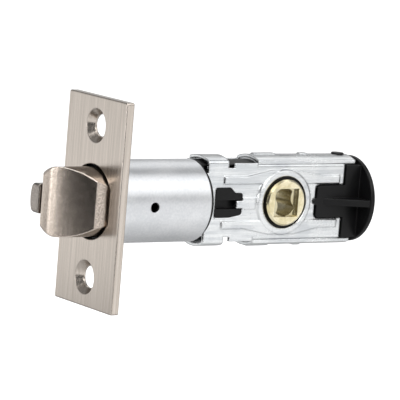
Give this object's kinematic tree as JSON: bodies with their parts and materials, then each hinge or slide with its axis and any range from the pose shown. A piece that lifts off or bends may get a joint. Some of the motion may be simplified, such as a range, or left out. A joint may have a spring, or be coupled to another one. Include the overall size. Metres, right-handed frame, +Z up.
{
  "type": "tubular door latch",
  "caption": "Tubular door latch: rectangular faceplate, bevelled latch bolt with deadlatch plunger, round barrel, sheet steel case with a spindle hub, and a round rear cap",
  "frame": {"origin": "centre of the faceplate's front face, on the latch's long axis", "axes": "+X runs from the faceplate into the door along the latch, +Z is up along the faceplate, the bolt's bevel faces -Y"},
  "size_m": [0.1006, 0.0286, 0.0572],
  "materials": {
    "satin_plate": "satin nickel plate, fine upright brushing",
    "satin_bolt": "satin nickel plate on a cast and polished bolt",
    "zinc_tube": "bluish zinc plate on drawn steel tube",
    "zinc_sheet": "bright zinc plate on stamped sheet steel",
    "black_plastic": "moulded, semi-matt",
    "hub_brass": "turned, lightly plated",
    "plain_steel": "plain steel, lightly oiled",
    "spring_wire": "drawn spring wire"
  },
  "bodies": {
    "housing": {"faceplate": "satin_plate", "barrel_tube": "zinc_tube", "guide_plug": "black_plastic", "case_pins": "plain_steel", "case_near_half": "zinc_sheet", "case_far_half": "zinc_sheet", "rear_cap": "black_plastic", "hub_bush_near": "black_plastic", "hub_bush_far": "black_plastic", "bolt_spring": "spring_wire", "plunger_spring": "spring_wire", "spring_washer": "plain_steel", "dog_pin": "plain_steel"},
    "bolt": {"latch_bolt": "satin_bolt", "bolt_bar": "plain_steel", "bolt_bar_pin": "plain_steel", "retractor": "plain_steel", "retractor_pin": "plain_steel"},
    "hub": {"spindle_hub": "hub_brass"},
    "plunger": {"deadlatch_plunger": "satin_bolt", "plunger_rod": "plain_steel"},
    "dog": {"deadlock_dog": "plain_steel"}
  },
  "joints": [
    {"name": "bolt_slide", "type": "slide", "parent": "housing", "child": "bolt", "axis": [1, 0, 0], "range_m": [0, 0.0127], "stiffness_N_per_m": 400, "springref_m": -0.012, "deforming": ["bolt_spring"]},
    {"name": "plunger_slide", "type": "slide", "parent": "housing", "child": "plunger", "axis": [1, 0, 0], "range_m": [0, 0.0095], "stiffness_N_per_m": 150, "springref_m": -0.006, "deforming": ["plunger_spring"]},
    {"name": "hub_turn", "type": "hinge", "parent": "housing", "child": "hub", "pos_m": [0.06032, 0, 0], "axis": [0, 1, 0], "range_deg": [0, 90.5]},
    {"name": "dog_turn", "type": "hinge", "parent": "housing", "child": "dog", "pos_m": [0.0312, 0.00462, 0], "axis": [0, 0, 1], "range_deg": [0, 10.2]}
  ],
  "couplings": [
    {"joint": "hub_turn", "follows": "bolt_slide", "rad_per_m": 123.69},
    {"joint": "dog_turn", "follows": "plunger_slide", "rad_per_m": 18.37}
  ]
}
